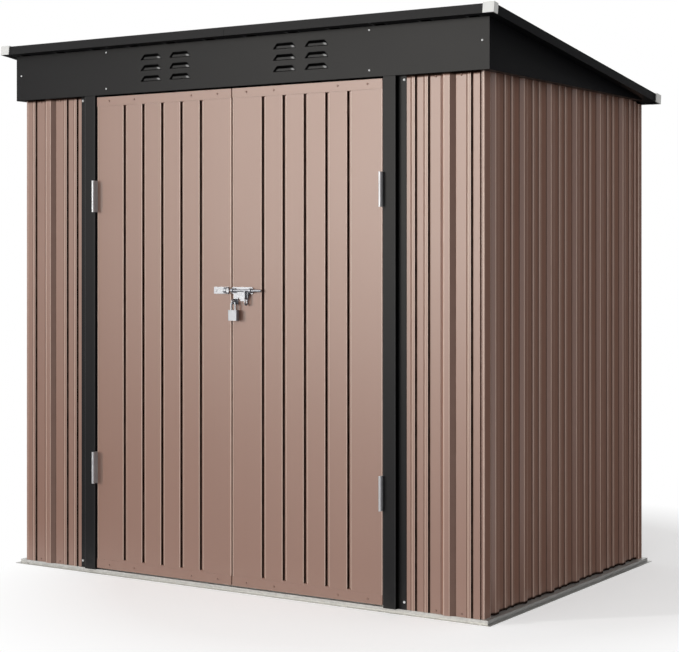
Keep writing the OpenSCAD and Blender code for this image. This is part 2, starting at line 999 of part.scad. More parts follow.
module slide_bolt() {
    web_low = handle_slot_z + slot_half;
    plate_x = handle_x - handle_t / 2;
    color([0.8, 0.8, 0.8])
        union() {
            rod_x(bolt_r, bolt_tip + tip_l, bolt_tip + bolt_l, bolt_y, bolt_z);
            translate([bolt_tip, bolt_y, bolt_z])
                rotate([0, 90, 0])
                    cylinder(r1 = bolt_r - tip_l / 2, r2 = bolt_r, h = tip_l);
            block(
                [handle_x - handle_w / 2, bolt_y - handle_t / 2, web_low + handle_r],
                [handle_x + handle_w / 2, bolt_y + handle_t / 2, bolt_z]
            );
            difference() {
                union() {
                    block(
                        [plate_x, bolt_y - handle_r, handle_slot_z - slot_half],
                        [plate_x + handle_t, bolt_y + handle_r - 3, bolt_z]
                    );
                    rod_x(handle_r, plate_x, plate_x + handle_t, bolt_y, handle_slot_z - slot_half);
                }
                block(
                    [plate_x - eps, bolt_y - slot_r, handle_slot_z - slot_half],
                    [plate_x + handle_t + eps, bolt_y + slot_r, handle_slot_z + slot_half]
                );
                rod_x(slot_r, plate_x - eps, plate_x + handle_t + eps, bolt_y, handle_slot_z - slot_half);
                rod_x(slot_r, plate_x - eps, plate_x + handle_t + eps, bolt_y, handle_slot_z + slot_half);
            }
        }
}

leg_holes = [staple_x - shackle_half, staple_x + shackle_half];
leg_depth = 8;
leg_clear = 0.05;

module padlock_body() {
    color([0.82, 0.82, 0.82])
        difference() {
            translate([staple_x, staple_y, lock_z - lock_h])
                linear_extrude(lock_h)
                    round_rect([-lock_w / 2, -lock_t / 2], [lock_w / 2, lock_t / 2], lock_r);
            for (x = leg_holes) rod_z(shackle_r + leg_clear, x, staple_y, lock_z - leg_depth, lock_z + eps);
        }
}

module padlock_shackle() {
    bend_z = shackle_z - shackle_half;
    color([0.85, 0.85, 0.86])
        union() {
            for (x = leg_holes) rod_z(shackle_r, x, staple_y, lock_z - leg_depth, bend_z);
            translate([staple_x, staple_y, bend_z])
                rotate([90, 0, 0])
                    rotate_extrude(angle = 180)
                        translate([shackle_half, 0])
                            circle(r = shackle_r);
        }
}

base_rail_front();
base_rail_rear();
base_rail_left();
base_rail_right();
front_wall_left();
front_wall_right();
side_wall_left();
side_wall_right();
rear_wall();
corner_post_front_left();
corner_post_front_right();
corner_post_rear_left();
corner_post_rear_right();
door_post_left();
door_post_right();
header_panel();
gable_left();
gable_right();
rear_top_rail();
roof_sheet_left();
roof_sheet_middle();
roof_sheet_right();
roof_trim_front();
roof_trim_rear();
roof_trim_left();
roof_trim_right();
roof_corner_caps();
post_hinges_left();
post_hinges_right();
left_door_sheet();
left_door_top_rail();
left_door_bottom_rail();
left_door_hinges();
bolt_keeper();
right_door_sheet();
right_door_top_rail();
right_door_bottom_rail();
right_door_hinges();
bolt_plate();
slide_bolt();
padlock_body();
padlock_shackle();
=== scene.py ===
import json
import math
import bmesh
import bpy
import numpy as np
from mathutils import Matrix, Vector


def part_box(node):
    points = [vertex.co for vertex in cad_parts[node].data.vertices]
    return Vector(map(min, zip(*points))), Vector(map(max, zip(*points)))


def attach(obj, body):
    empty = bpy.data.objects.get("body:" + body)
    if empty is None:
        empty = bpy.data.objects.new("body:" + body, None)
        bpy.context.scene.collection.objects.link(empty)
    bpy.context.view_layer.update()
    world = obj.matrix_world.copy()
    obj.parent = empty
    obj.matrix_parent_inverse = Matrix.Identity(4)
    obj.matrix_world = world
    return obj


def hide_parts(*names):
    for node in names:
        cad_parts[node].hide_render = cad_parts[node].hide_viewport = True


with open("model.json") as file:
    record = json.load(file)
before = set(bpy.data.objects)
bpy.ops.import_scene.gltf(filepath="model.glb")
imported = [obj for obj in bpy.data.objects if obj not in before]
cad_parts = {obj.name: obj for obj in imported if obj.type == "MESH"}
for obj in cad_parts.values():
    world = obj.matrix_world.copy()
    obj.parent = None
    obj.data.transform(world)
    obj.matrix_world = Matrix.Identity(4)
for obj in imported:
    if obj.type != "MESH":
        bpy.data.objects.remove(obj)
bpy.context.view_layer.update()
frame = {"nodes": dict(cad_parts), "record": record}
nodes = frame["nodes"]
print("shed: frame loaded,", len(nodes), "nodes")

cameraSet = {
    "place": (3.1177, -4.8095, 1.0574),
    "turn": 32.685,          # degrees to the left of +Y
    "lens": 88.43, "sensor": 36.0,
    "shiftY": -0.1041,
}


def linkObject(name, data):
    obj = bpy.data.objects.new(name, data)
    bpy.context.scene.collection.objects.link(obj)
    return obj


def photoCamera(s):
    data = bpy.data.cameras.new("photoCamera")
    data.sensor_width = s["sensor"]
    data.sensor_fit = "HORIZONTAL"
    data.lens = s["lens"]
    data.shift_y = s["shiftY"]
    obj = linkObject("photoCamera", data)
    obj.location = s["place"]
    obj.rotation_euler = (math.radians(90), 0, math.radians(s["turn"]))
    bpy.context.scene.camera = obj
    bpy.context.scene.view_settings.view_transform = "Standard"


photoCamera(cameraSet)
print("shed: camera set")

tiny = 1e-6      # lengths and shares below this count as nothing


# quads of a grid of rows x cols points; a closed direction joins its last line to its first
def gridQuads(rows, cols, closeRows=False, closeCols=False):
    r = np.arange(rows if closeRows else rows - 1)
    c = np.arange(cols if closeCols else cols - 1)
    rr, cc = np.meshgrid(r, c, indexing="ij")
    r2, c2 = (rr + 1) % rows, (cc + 1) % cols
    return np.stack([rr * cols + cc, rr * cols + c2, r2 * cols + c2, r2 * cols + cc], -1).reshape(-1, 4)


# smooth step from 0 to 1 between two limits
def ease(x, low, high):
    t = np.clip((x - low) / (high - low), 0.0, 1.0)
    return t * t * (3 - 2 * t)


# places of a row of things one apart, about its middle
def inRow(count):
    return np.arange(count) - (count - 1) / 2


# trapezoids about the centres c, as (along, outwards): from the foot up to the crest and down again
def trapezoids(c, foot, crest, high, base=0.0):
    along = np.stack([c - foot, c - crest, c + crest, c + foot], 1)
    out = np.stack([0 * c, 0 * c + high, 0 * c + high, 0 * c], 1) + base
    return np.stack([along, out], -1).reshape(-1, 2)


# one mesh object out of several (points, quads, bend) parts; bend is 1 on a bend that stands out, -1 in a crease
def makePiece(name, parts, body, material, slotName, sharp=32.0, merge=0.0):
    points, quads, bends, start = [], [], [], 0
    for p, q, bend in parts:
        p = np.asarray(p, float).reshape(-1, 3)
        points.append(p)
        quads.append(np.asarray(q) + start)
        bends.append(np.zeros(len(p)) if bend is None else np.asarray(bend, float).reshape(-1))
        start += len(p)
    mesh = bpy.data.meshes.new(name)
    mesh.from_pydata(np.concatenate(points), [], np.concatenate(quads).tolist())
    layer = mesh.attributes.new("bend", "FLOAT", "POINT")
    layer.data.foreach_set("value", np.concatenate(bends).astype(np.float32))
    bm = bmesh.new()
    bm.from_mesh(mesh)
    if merge > 0:
        bmesh.ops.remove_doubles(bm, verts=bm.verts, dist=merge)
    bmesh.ops.recalc_face_normals(bm, faces=bm.faces)
    bm.to_mesh(mesh)
    bm.free()
    mesh.shade_smooth()
    mesh.set_sharp_from_angle(angle=math.radians(sharp))
    obj = linkObject(name, mesh)
    mesh.materials.append(material)
    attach(obj, body)
    return obj


# adds a node, sets its plain inputs and links the ones that are given as sockets
def addNode(tree, kind, inputs=None, **props):
    node = tree.nodes.new(kind)
    for key, value in props.items():
        setattr(node, key, value)
    for key, value in (inputs or {}).items():
        if isinstance(value, bpy.types.NodeSocket):
            tree.links.new(value, node.inputs[key])
        else:
            node.inputs[key].default_value = value
    return node


def newGroup(name, inputs, outputs):
    tree = bpy.data.node_groups.new(name, "ShaderNodeTree")
    for label, kind, value in inputs:
        socket = tree.interface.new_socket(label, in_out="INPUT", socket_type="NodeSocket" + kind)
        socket.default_value = value
    for label, kind in outputs:
        tree.interface.new_socket(label, in_out="OUTPUT", socket_type="NodeSocket" + kind)
    return tree, addNode(tree, "NodeGroupInput").outputs, addNode(tree, "NodeGroupOutput").inputs


def mixColour(tree, a, b, factor, mode="MIX"):
    return addNode(tree, "ShaderNodeMix", {0: factor, 6: a, 7: b}, data_type="RGBA", blend_type=mode).outputs[2]


def calc(tree, operation, a, b=0.0, c=0.0, clamp=False):
    return addNode(tree, "ShaderNodeMath", {0: a, 1: b, 2: c}, operation=operation, use_clamp=clamp).outputs[0]


def remap(tree, value, low, high, outLow, outHigh):
    return addNode(tree, "ShaderNodeMapRange", {
        "Value": value, "From Min": low, "From Max": high, "To Min": outLow, "To Max": outHigh}).outputs[0]


def grey(tree, value):
    return addNode(tree, "ShaderNodeCombineColor", {"Red": value, "Green": value, "Blue": value}).outputs[0]


grainSet = {"streak": 0.04, "flakePolish": 0.16, "scratchPolish": 0.25}      # how far fine grain shifts tone or polish


# baked paint on sheet: slow cloudy tone, fine orange peel and a faint roller streak along the sheet
def paintSkinGroup():
    tree, given, out = newGroup("paintSkin", [
        ("Colour", "Color", (0.3, 0.2, 0.15, 1)), ("Cloud", "Float", 0.06), ("Peel Scale", "Float", 420.0),
        ("Rough", "Float", 0.45), ("Rough Spread", "Float", 0.08)],
        [("Colour", "Color"), ("Roughness", "Float"), ("Height", "Float")])
    at = addNode(tree, "ShaderNodeTexCoord").outputs["Object"]
    cloud = addNode(tree, "ShaderNodeTexNoise", {"Vector": at, "Scale": 2.3, "Detail": 4.0, "Roughness": 0.55})
    peel = addNode(tree, "ShaderNodeTexNoise", {"Vector": at, "Scale": given["Peel Scale"], "Detail": 1.0})
    stretch = addNode(tree, "ShaderNodeMapping", {"Vector": at, "Scale": (60.0, 60.0, 0.8)})
    streak = addNode(tree, "ShaderNodeTexNoise", {"Vector": stretch.outputs[0], "Scale": 1.0, "Detail": 2.0})
    slow = calc(tree, "SUBTRACT", cloud.outputs[0], 0.5)
    tone = calc(tree, "MULTIPLY_ADD", slow, given["Cloud"], 1.0)
    tone = calc(tree, "MULTIPLY_ADD", calc(tree, "SUBTRACT", streak.outputs[0], 0.5), grainSet["streak"], tone)
    tree.links.new(mixColour(tree, given["Colour"], grey(tree, tone), 1.0, "MULTIPLY"), out["Colour"])
    fine = calc(tree, "SUBTRACT", peel.outputs[0], 0.5)
    both = calc(tree, "ADD", fine, slow)
    tree.links.new(calc(tree, "MULTIPLY_ADD", both, given["Rough Spread"], given["Rough"]), out["Roughness"])
    tree.links.new(peel.outputs[0], out["Height"])
    return tree


# dust that settles low on the walls: strongest at the ground, broken up by noise
def groundDustGroup():
    tree, given, out = newGroup("groundDust", [
        ("Colour", "Color", (0.3, 0.2, 0.15, 1)), ("Dust", "Color", (0.42, 0.38, 0.33, 1)),
        ("Amount", "Float", 0.25), ("Reach", "Float", 0.25)],
        [("Colour", "Color"), ("Mask", "Float")])
    at = addNode(tree, "ShaderNodeTexCoord").outputs["Object"]
    height = addNode(tree, "ShaderNodeSeparateXYZ", {"Vector": at}).outputs["Z"]
    low = calc(tree, "SUBTRACT", 1.0, calc(tree, "DIVIDE", height, given["Reach"]), clamp=True)
    speck = addNode(tree, "ShaderNodeTexNoise", {"Vector": at, "Scale": 38.0, "Detail": 6.0, "Roughness": 0.7})
    patch = remap(tree, speck.outputs[0], 0.35, 0.7, 0.0, 1.0)
    mask = calc(tree, "MULTIPLY", calc(tree, "MULTIPLY", calc(tree, "MULTIPLY", low, low), patch), given["Amount"])
    tree.links.new(mixColour(tree, given["Colour"], given["Dust"], mask), out["Colour"])
    tree.links.new(mask, out["Mask"])
    return tree


# paint along the bends: a painted highlight where a bend stands out, a painted shade in a crease
def bendShadingGroup():
    tree, given, out = newGroup("bendShading", [
        ("Colour", "Color", (0.3, 0.2, 0.15, 1)), ("Rubbed", "Color", (0.5, 0.45, 0.4, 1)),
        ("Dirt", "Color", (0.05, 0.03, 0.02, 1)), ("Rub Amount", "Float", 0.5), ("Dirt Amount", "Float", 0.5)],
        [("Colour", "Color"), ("Crease", "Float")])
    at = addNode(tree, "ShaderNodeTexCoord").outputs["Object"]
    bend = addNode(tree, "ShaderNodeAttribute", attribute_name="bend").outputs["Fac"]
    broken = addNode(tree, "ShaderNodeTexNoise", {"Vector": at, "Scale": 24.0, "Detail": 4.0})
    patch = remap(tree, broken.outputs[0], 0.3, 0.65, 0.85, 1.0)
    wornAndLit = calc(tree, "MULTIPLY", calc(tree, "MULTIPLY", bend, patch), given["Rub Amount"], clamp=True)
    crease = calc(tree, "MULTIPLY", calc(tree, "MULTIPLY", calc(tree, "MULTIPLY", bend, -1.0), patch, clamp=True),
                  given["Dirt Amount"])
    pale = mixColour(tree, given["Colour"], given["Rubbed"], wornAndLit)
    tree.links.new(mixColour(tree, pale, given["Dirt"], crease), out["Colour"])
    tree.links.new(crease, out["Crease"])
    return tree


# zinc spangle: flakes of slightly different grey, each with its own polish
def zincSpangleGroup():
    tree, given, out = newGroup("zincSpangle", [
        ("Colour", "Color", (0.6, 0.6, 0.6, 1)), ("Flake Scale", "Float", 160.0), ("Contrast", "Float", 0.2),
        ("Rough", "Float", 0.4)],
        [("Colour", "Color"), ("Roughness", "Float"), ("Height", "Float")])
    at = addNode(tree, "ShaderNodeTexCoord").outputs["Object"]
    flake = addNode(tree, "ShaderNodeTexVoronoi", {"Vector": at, "Scale": given["Flake Scale"], "Randomness": 1.0})
    value = addNode(tree, "ShaderNodeSeparateColor", {"Color": flake.outputs["Color"]}).outputs[0]
    spread = calc(tree, "SUBTRACT", value, 0.5)
    fine = addNode(tree, "ShaderNodeTexNoise", {"Vector": at, "Scale": 900.0, "Detail": 2.0})
    tone = calc(tree, "MULTIPLY_ADD", spread, given["Contrast"], 1.0)
    tree.links.new(mixColour(tree, given["Colour"], grey(tree, tone), 1.0, "MULTIPLY"), out["Colour"])
    polish = calc(tree, "MULTIPLY_ADD", spread, grainSet["flakePolish"], given["Rough"])
    tree.links.new(polish, out["Roughness"])
    tree.links.new(fine.outputs[0], out["Height"])
    return tree


# rubbed edges: where the rounded normal leans away from the true one, the surface is worn bright
def edgeRubGroup():
    tree, given, out = newGroup("edgeRub", [
        ("Colour", "Color", (0.3, 0.2, 0.15, 1)), ("Rubbed", "Color", (0.5, 0.45, 0.4, 1)),
        ("Width", "Float", 0.0015), ("Amount", "Float", 0.4)],
        [("Colour", "Color")])
    at = addNode(tree, "ShaderNodeTexCoord").outputs["Object"]
    rounded = addNode(tree, "ShaderNodeBevel", {"Radius": given["Width"]}, samples=4)
    true = addNode(tree, "ShaderNodeNewGeometry").outputs["True Normal"]
    lean = addNode(tree, "ShaderNodeVectorMath", {0: rounded.outputs[0], 1: true}, operation="DOT_PRODUCT")
    edge = remap(tree, lean.outputs["Value"], 0.99, 0.75, 0.0, 1.0)
    broken = addNode(tree, "ShaderNodeTexNoise", {"Vector": at, "Scale": 70.0, "Detail": 5.0})
    patch = remap(tree, broken.outputs[0], 0.35, 0.6, 0.3, 1.0)
    mask = calc(tree, "MULTIPLY", calc(tree, "MULTIPLY", edge, patch), given["Amount"])
    tree.links.new(mixColour(tree, given["Colour"], given["Rubbed"], mask), out["Colour"])
    return tree


# drawn steel: fine scratches along one axis
def drawnSteelGroup():
    tree, given, out = newGroup("drawnSteel", [
        ("Colour", "Color", (0.7, 0.7, 0.7, 1)), ("Along", "Vector", (900.0, 900.0, 25.0)),
        ("Rough", "Float", 0.3), ("Contrast", "Float", 0.15)],
        [("Colour", "Color"), ("Roughness", "Float"), ("Height", "Float")])
    at = addNode(tree, "ShaderNodeTexCoord").outputs["Object"]
    stretch = addNode(tree, "ShaderNodeVectorMath", {0: at, 1: given["Along"]}, operation="MULTIPLY")
    line = addNode(tree, "ShaderNodeTexNoise", {"Vector": stretch.outputs[0], "Scale": 1.0, "Detail": 3.0})
    spread = calc(tree, "SUBTRACT", line.outputs[0], 0.5)
    tone = calc(tree, "MULTIPLY_ADD", spread, given["Contrast"], 1.0)
    tree.links.new(mixColour(tree, given["Colour"], grey(tree, tone), 1.0, "MULTIPLY"), out["Colour"])
    polish = calc(tree, "MULTIPLY_ADD", spread, grainSet["scratchPolish"], given["Rough"])
    tree.links.new(polish, out["Roughness"])
    tree.links.new(line.outputs[0], out["Height"])
    return tree


paintSkin = paintSkinGroup()
groundDust = groundDustGroup()
bendShading = bendShadingGroup()
zincSpangle = zincSpangleGroup()
edgeRub = edgeRubGroup()
drawnSteel = drawnSteelGroup()
print("shed: shader groups built")


def srgb(r, g, b):
    c = np.array([r, g, b], float) / 255
    c = np.where(c <= 0.04045, c / 12.92, ((c + 0.055) / 1.055) ** 2.4)
    return (float(c[0]), float(c[1]), float(c[2]), 1.0)


def emptyMaterial(name):
    mat = bpy.data.materials.new(name)
    mat.use_nodes = True
    mat.node_tree.nodes.clear()
    return mat, mat.node_tree


def newMaterial(name):
    mat, tree = emptyMaterial(name)
    shader = addNode(tree, "ShaderNodeBsdfPrincipled")
    addNode(tree, "ShaderNodeOutputMaterial", {"Surface": shader.outputs[0]})
    return mat, tree, shader


# outputs of a shader group; an underscore in a keyword stands for the space in the input's name
def runGroup(tree, group, **values):
    named = {key.replace("_", " "): value for key, value in values.items()}
    return addNode(tree, "ShaderNodeGroup", named, node_tree=group).outputs


def addBump(tree, shader, height, strength, distance):
    bump = addNode(tree, "ShaderNodeBump", {"Height": height, "Strength": strength, "Distance": distance})
    tree.links.new(bump.outputs[0], shader.inputs["Normal"])


# on both paints the pale bend colour and its amount are a painted highlight, the dark crease colour and its amount a
# painted shade
brownLook = {
    "colour": srgb(129, 93, 78), "cloud": 0.05, "peelScale": 420.0, "rough": 0.36, "roughSpread": 0.06,
    "wearAndHighlight": srgb(222, 196, 180), "wearAndHighlightAmount": 0.75, "paintedShade": srgb(24, 10, 6), "shadeAmount": 0.98,
    "dust": srgb(150, 130, 116), "dustAmount": 0.15, "dustReach": 0.16, "specular": 1.0, "peel": 0.05,
}
darkLook = {
    "colour": srgb(20, 20, 22), "cloud": 0.16, "peelScale": 420.0, "rough": 0.36, "roughSpread": 0.10,
    "wearAndHighlight": srgb(140, 140, 140), "wearAndHighlightAmount": 0.5, "paintedShade": srgb(4, 4, 4), "shadeAmount": 0.95,
    "dust": srgb(90, 86, 80), "dustAmount": 0.15, "dustReach": 0.16, "specular": 0.155, "peel": 0.08,
}
paintSet = {"dustDull": 0.3, "creaseDull": 0.6, "peelDeep": 0.0004}


# painted sheet: paint skin, painted highlight and painted shade along the bends, dust near the ground
def paintedSheet(name, look):
    mat, tree, shader = newMaterial(name)
    skin = runGroup(tree, paintSkin, Colour=look["colour"], Cloud=look["cloud"], Peel_Scale=look["peelScale"],
                    Rough=look["rough"], Rough_Spread=look["roughSpread"])
    bendShaded = runGroup(tree, bendShading, Colour=skin["Colour"], Rubbed=look["wearAndHighlight"], Dirt=look["paintedShade"],
                    Rub_Amount=look["wearAndHighlightAmount"], Dirt_Amount=look["shadeAmount"])
    dust = runGroup(tree, groundDust, Colour=bendShaded["Colour"], Dust=look["dust"], Amount=look["dustAmount"],
                    Reach=look["dustReach"])
    tree.links.new(dust["Colour"], shader.inputs["Base Color"])
    dull = calc(tree, "MULTIPLY_ADD", dust["Mask"], paintSet["dustDull"], skin["Roughness"])
    dull = calc(tree, "MULTIPLY_ADD", bendShaded["Crease"], paintSet["creaseDull"], dull)
    tree.links.new(dull, shader.inputs["Roughness"])
    tree.links.new(bendShaded["Crease"], shader.inputs["Metallic"])          # painted shade in a crease also turns metal-like, so it loses the pale sheen and stays dark
    shader.inputs["Specular IOR Level"].default_value = look["specular"]
    addBump(tree, shader, skin["Height"], look["peel"], paintSet["peelDeep"])
    return mat


brownPaint = paintedSheet("brownPaint", brownLook)
darkPaint = paintedSheet("darkPaint", darkLook)

railLook = {"colour": srgb(184, 184, 182), "flakeScale": 150.0, "contrast": 0.16, "rough": 0.42, "metal": 0.82,
            "dust": srgb(150, 142, 132), "dustAmount": 0.25, "dustReach": 0.05, "specular": 0.3,
            "grain": 0.08, "grainDeep": 0.0003}


def galvanisedRail(name, look):
    mat, tree, shader = newMaterial(name)
    zinc = runGroup(tree, zincSpangle, Colour=look["colour"], Flake_Scale=look["flakeScale"],
                    Contrast=look["contrast"], Rough=look["rough"])
    dust = runGroup(tree, groundDust, Colour=zinc["Colour"], Dust=look["dust"], Amount=look["dustAmount"],
                    Reach=look["dustReach"])
    tree.links.new(dust["Colour"], shader.inputs["Base Color"])
    tree.links.new(zinc["Roughness"], shader.inputs["Roughness"])
    shader.inputs["Metallic"].default_value = look["metal"]
    shader.inputs["Specular IOR Level"].default_value = look["specular"]
    addBump(tree, shader, zinc["Height"], look["grain"], look["grainDeep"])
    return mat


railZinc = galvanisedRail("railZinc", railLook)

steelLook = {
    "hingeSteel": {"colour": srgb(186, 187, 190), "along": (700.0, 700.0, 40.0), "rough": 0.32, "contrast": 0.2,
                   "metal": 0.55, "wearAndHighlight": srgb(215, 215, 215)},
    "boltSteel": {"colour": srgb(147, 149, 155), "along": (40.0, 800.0, 800.0), "rough": 0.26, "contrast": 0.18,
                  "metal": 0.65, "wearAndHighlight": srgb(205, 205, 205)},
    "padlockSteel": {"colour": srgb(153, 155, 161), "along": (60.0, 900.0, 900.0), "rough": 0.36, "contrast": 0.25,
                     "metal": 0.85, "wearAndHighlight": srgb(205, 205, 203)},
    "shackleSteel": {"colour": srgb(158, 160, 165), "along": (500.0, 500.0, 120.0), "rough": 0.2, "contrast": 0.08,
                     "metal": 0.9, "wearAndHighlight": srgb(205, 205, 205)},
    "screwZinc": {"colour": srgb(214, 215, 216), "along": (600.0, 600.0, 600.0), "rough": 0.36, "contrast": 0.2,
                  "metal": 0.2, "wearAndHighlight": srgb(230, 230, 230)},
}
steelSet = {"rubWidth": 0.0008, "wearAndHighlightAmount": 0.6, "scratch": 0.06, "scratchDeep": 0.0002}


def platedSteel(name):
    look = steelLook[name]
    mat, tree, shader = newMaterial(name)
    drawn = runGroup(tree, drawnSteel, Colour=look["colour"], Along=look["along"], Rough=look["rough"],
                     Contrast=look["contrast"])
    wornAndLit = runGroup(tree, edgeRub, Colour=drawn["Colour"], Rubbed=look["wearAndHighlight"], Width=steelSet["rubWidth"],
                   Amount=steelSet["wearAndHighlightAmount"])
    tree.links.new(wornAndLit["Colour"], shader.inputs["Base Color"])
    tree.links.new(drawn["Roughness"], shader.inputs["Roughness"])
    shader.inputs["Metallic"].default_value = look["metal"]
    addBump(tree, shader, drawn["Height"], steelSet["scratch"], steelSet["scratchDeep"])
    return mat


hingeSteel, boltSteel, padlockSteel, shackleSteel, screwZinc = (platedSteel(n) for n in steelLook)

capLook = {"colour": srgb(214, 214, 211), "rough": 0.5, "roughSpread": 0.15, "cloud": 0.05, "specular": 0.4,
           "grainScale": 700.0, "grain": 0.2, "grainDeep": 0.0003}


# moulded cap: pale plastic with a fine spark grain
def mouldedCap(name, look):
    mat, tree, shader = newMaterial(name)
    skin = runGroup(tree, paintSkin, Colour=look["colour"], Cloud=look["cloud"], Peel_Scale=look["grainScale"],
                    Rough=look["rough"], Rough_Spread=look["roughSpread"])
    tree.links.new(skin["Colour"], shader.inputs["Base Color"])
    tree.links.new(skin["Roughness"], shader.inputs["Roughness"])
    shader.inputs["Specular IOR Level"].default_value = look["specular"]
    addBump(tree, shader, skin["Height"], look["grain"], look["grainDeep"])
    return mat


capPlastic = mouldedCap("capPlastic", capLook)

finishOfSlot = {
    "galvanised_rail": railZinc, "brown_sheet": brownPaint, "dark_sheet": darkPaint, "pale_cap": capPlastic,
    "hinge_steel": hingeSteel, "bolt_steel": boltSteel, "padlock_case": padlockSteel,
    "padlock_shackle": shackleSteel,
}
slotOfNode = {part["node"]: part["material_slot"] for part in frame["record"]["subparts"]}
for nodeName, nodeObj in nodes.items():
    nodeObj.data.materials.clear()
    nodeObj.data.materials.append(finishOfSlot[slotOfNode[nodeName]])
print("shed: finishes on", len(slotOfNode), "nodes")

brown, dark = (brownPaint, "brown_sheet"), (darkPaint, "dark_sheet")
# the crease and end shares set how strongly a bend carries painted highlight and painted shade; the shade and foot
# lengths place painted shade below the header and along a wall's foot
sheetSet = {"thick": 0.0012, "radius": 0.0022, "steps": 5, "margin": 0.0022, "crease": 0.75, "endShare": 0.6,
            "roomShare": 0.45, "tangentShare": 0.6,
            "shadeRun": 0.0095, "shadeEdge": 0.0035, "footDark": 0.005, "footRun": 0.009}


# path with rounded corners: each corner becomes the parabola between two points a tangent length before and after
# it, with one more point just outside each of them; bend is +1 where the path stands out and -1 where it dips
# the paint turns a bend that stands out into a painted highlight and a crease into a painted shade
def roundPath(path, s=sheetSet):
    p = np.asarray(path, float)
    seg = np.diff(p, axis=0)
    length = np.linalg.norm(seg, axis=1)
    unit = seg / length[:, None]
    a, b = unit[:-1], unit[1:]
    turn = np.arctan2(a[:, 0] * b[:, 1] - a[:, 1] * b[:, 0], (a * b).sum(1))
    room = s["roomShare"] * np.minimum(length[:-1], length[1:])
    reach = np.minimum(s["radius"] * np.tan(np.abs(turn) / 2), s["tangentShare"] * room)
    wide = np.minimum(reach + s["margin"], room)
    corner = p[1:-1, None]
    before, after = (a * reach[:, None])[:, None], (b * reach[:, None])[:, None]
    t = np.linspace(0, 1, s["steps"])[None, :, None]
    arc = (1 - t) ** 2 * (corner - before) + 2 * t * (1 - t) * corner + t ** 2 * (corner + after)
    run = np.concatenate([corner - (a * wide[:, None])[:, None], arc, corner + (b * wide[:, None])[:, None]], 1)
    hump = np.sin(np.linspace(0, np.pi, s["steps"]))
    share = np.concatenate([[0.0], s["endShare"] + (1 - s["endShare"]) * hump, [0.0]])
    bend = np.where(turn > 0, -s["crease"], 1.0)[:, None] * share[None, :]
    return (np.concatenate([p[:1], run.reshape(-1, 2), p[-1:]]), np.concatenate([[0.0], bend.reshape(-1), [0.0]]))


# the same path one thickness further in: each point moves against the path's normal
def innerPath(outer, thick):
    tangent = np.gradient(outer, axis=0)
    tangent = tangent / np.linalg.norm(tangent, axis=1)[:, None]
    return outer - thick * np.stack([-tangent[:, 1], tangent[:, 0]], 1)


# closed sheet from its outer and inner surfaces, both arrays of path points x levels x 3; shade is a painted shade
# on whole levels of the outer one
def closeSheet(outer, inner, bend, shade=0.0):
    n, levels = outer.shape[:2]
    ring = np.concatenate([outer, inner[::-1]])
    i = np.arange(n - 1)
    lid = np.stack([i, i + 1, 2 * n - 2 - i, 2 * n - 1 - i], 1) * levels
    quads = np.concatenate([gridQuads(2 * n, levels, closeRows=True), lid, lid[:, ::-1] + levels - 1])
    edges = np.repeat(bend[:, None], levels, 1)
    dim = np.broadcast_to(shade, edges.shape)
    shaded = np.where(dim > 0, -dim, edges)
    return ring, quads, np.concatenate([shaded, -edges[::-1]]).reshape(-1)


# bent sheet: a rounded path, given as (along, outwards), carried from a low to a high end; a given function changes
# the bend values along the path for painted shade, a header edge gets painted shade from just below it upwards, and a
# foot gets painted shade at its low end
def bentSheet(path, low, high, place, s=sheetSet, shading=None, under=None, foot=False):
    outer, bend = roundPath(path, s)
    if shading:
        bend = shading(outer, bend)
    inner = innerPath(outer, s["thick"])
    between, shade = [], 0.0
    if under:
        between, shade = [under - s["shadeRun"], under - s["shadeEdge"]], np.array([0.0, 0.0, 1.0, 1.0])
    elif foot:
        between, shade = [low + s["footDark"], low + s["footRun"]], np.array([1.0, 1.0, 0.0, 0.0])
    sides = []
    for p in (outer, inner):
        top = high(p[:, 0]) if callable(high) else np.full(len(p), high)
        levels = np.stack([np.full(len(p), z) for z in [low] + between] + [top], 1)
        count = levels.shape[1]
        sides.append(place(np.repeat(p[:, :1], count, 1), np.repeat(p[:, 1:], count, 1), levels))
    return closeSheet(sides[0], sides[1], bend, shade)


ribSet = {
    "wide": (0.024, 0.010, 0.011),       # half foot, half crest, height
    "narrow": (0.010, 0.005, 0.004),
    "gap": 0.071, "pitch": 0.044,        # wide to narrow, narrow to narrow
    "reach": 12,                         # modules laid out each way before the sheet's ends cut them off
}
module = ribSet["pitch"] + 2 * ribSet["gap"]


# ribbed sheet as (along, outwards): each rib rises from its foot to its crest and falls again
def ribbedPath(start, end, first, lowest, highest, s=ribSet):
    k = np.arange(-s["reach"], s["reach"] + 1) * module + first
    centre = np.stack([k, k + s["gap"], k + s["gap"] + s["pitch"]], 1).reshape(-1)
    size = np.tile(np.array([s["wide"], s["narrow"], s["narrow"]]), (len(k), 1))
    keep = (centre - size[:, 0] > lowest) & (centre + size[:, 0] < highest)
    return np.concatenate([[[start, 0.0]], trapezoids(centre[keep], *size[keep].T), [[end, 0.0]]])


# strength of the painted shade on slopes that face one way, for narrow and for wide ribs
slopeSet = {"lean": 0.3, "near": 0.012, "low": 0.006, "narrow": 0.95, "wide": 0.3}


# painted shade on the slopes that face one way along the path: heavy on narrow ribs, light on wide ones
def slopeShade(way, s=slopeSet):
    def shading(p, bend):
        t = np.gradient(p, axis=0)
        facing = (way * t[:, 1] < -s["lean"] * np.linalg.norm(t, axis=1)) & (t[:, 0] > tiny)
        near = np.abs(p[:, None, 0] - p[None, :, 0]) < s["near"]
        crest = np.where(near, p[None, :, 1], 0.0).max(1)
        return np.where(facing, np.minimum(bend, -np.where(crest < s["low"], s["narrow"], s["wide"])), bend)
    return shading


